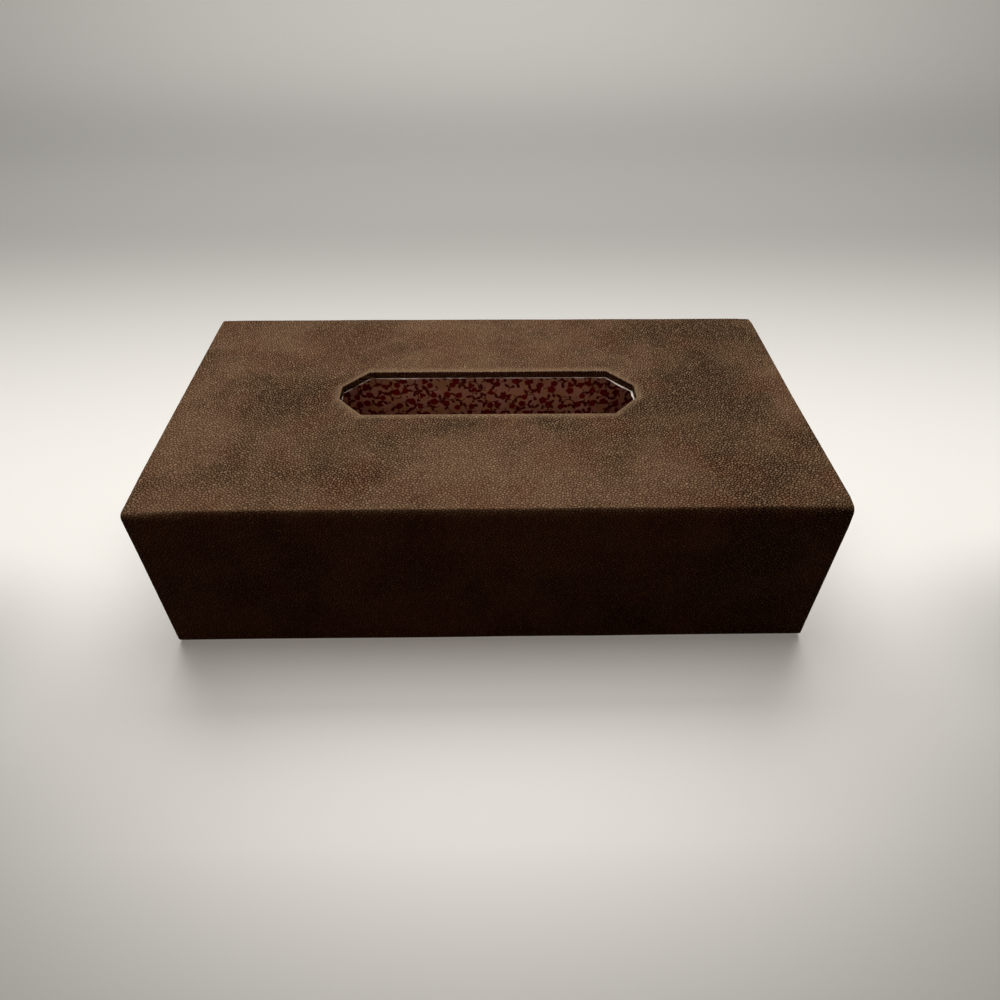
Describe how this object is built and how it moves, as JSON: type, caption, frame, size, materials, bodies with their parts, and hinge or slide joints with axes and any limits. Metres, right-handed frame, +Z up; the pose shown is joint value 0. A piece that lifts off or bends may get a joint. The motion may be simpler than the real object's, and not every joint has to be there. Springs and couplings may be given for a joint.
{
  "type": "tissue box",
  "caption": "Long low tissue box wrapped in brown leatherette, with a slot with cut corners in its top and a paper-lined drawer that pulls out of one end.",
  "frame": {"origin": "middle of the underside that the box stands on, midway along and across the sleeve", "axes": "+Z is up, +X runs along the box towards the drawer's face, and -Y is the long front"},
  "size_m": [0.2743, 0.14, 0.074],
  "materials": {
    "leatherette": "matt brown leatherette with a fine pebble grain and cloudy lighter and darker patches",
    "fibreboard": "raw medium-density fibreboard, hidden by its covering",
    "greyboard": "raw greyboard, hidden by its covering",
    "printed_paper": "cream lining paper with a small printed pattern of dark red blossoms, sprigs and leaves",
    "plain_paper": "plain brown wrapping paper",
    "felt": "thin dark felt"
  },
  "bodies": {
    "casing": {"casing_top_board": "fibreboard", "casing_front_board": "fibreboard", "casing_rear_board": "fibreboard", "casing_bottom_board": "fibreboard", "casing_end_board": "fibreboard", "casing_cover": "leatherette", "casing_end_cover": "leatherette", "casing_top_lining": "printed_paper", "casing_front_lining": "printed_paper", "casing_rear_lining": "printed_paper", "casing_bottom_lining": "printed_paper", "casing_end_lining": "printed_paper", "base_pad": "felt"},
    "drawer": {"drawer_bottom_board": "greyboard", "drawer_front_side_board": "greyboard", "drawer_rear_side_board": "greyboard", "drawer_inner_end_board": "greyboard", "drawer_face_board": "greyboard", "drawer_face_cover": "leatherette", "drawer_outer_wrap": "plain_paper", "drawer_floor_lining": "printed_paper", "drawer_front_side_lining": "printed_paper", "drawer_rear_side_lining": "printed_paper", "drawer_inner_end_lining": "printed_paper", "drawer_face_lining": "printed_paper", "drawer_pull_tab": "leatherette"}
  },
  "joints": [
    {"name": "drawer_slide", "type": "slide", "parent": "casing", "child": "drawer", "axis": [1, 0, 0], "range_m": [0, 0.225]}
  ]
}
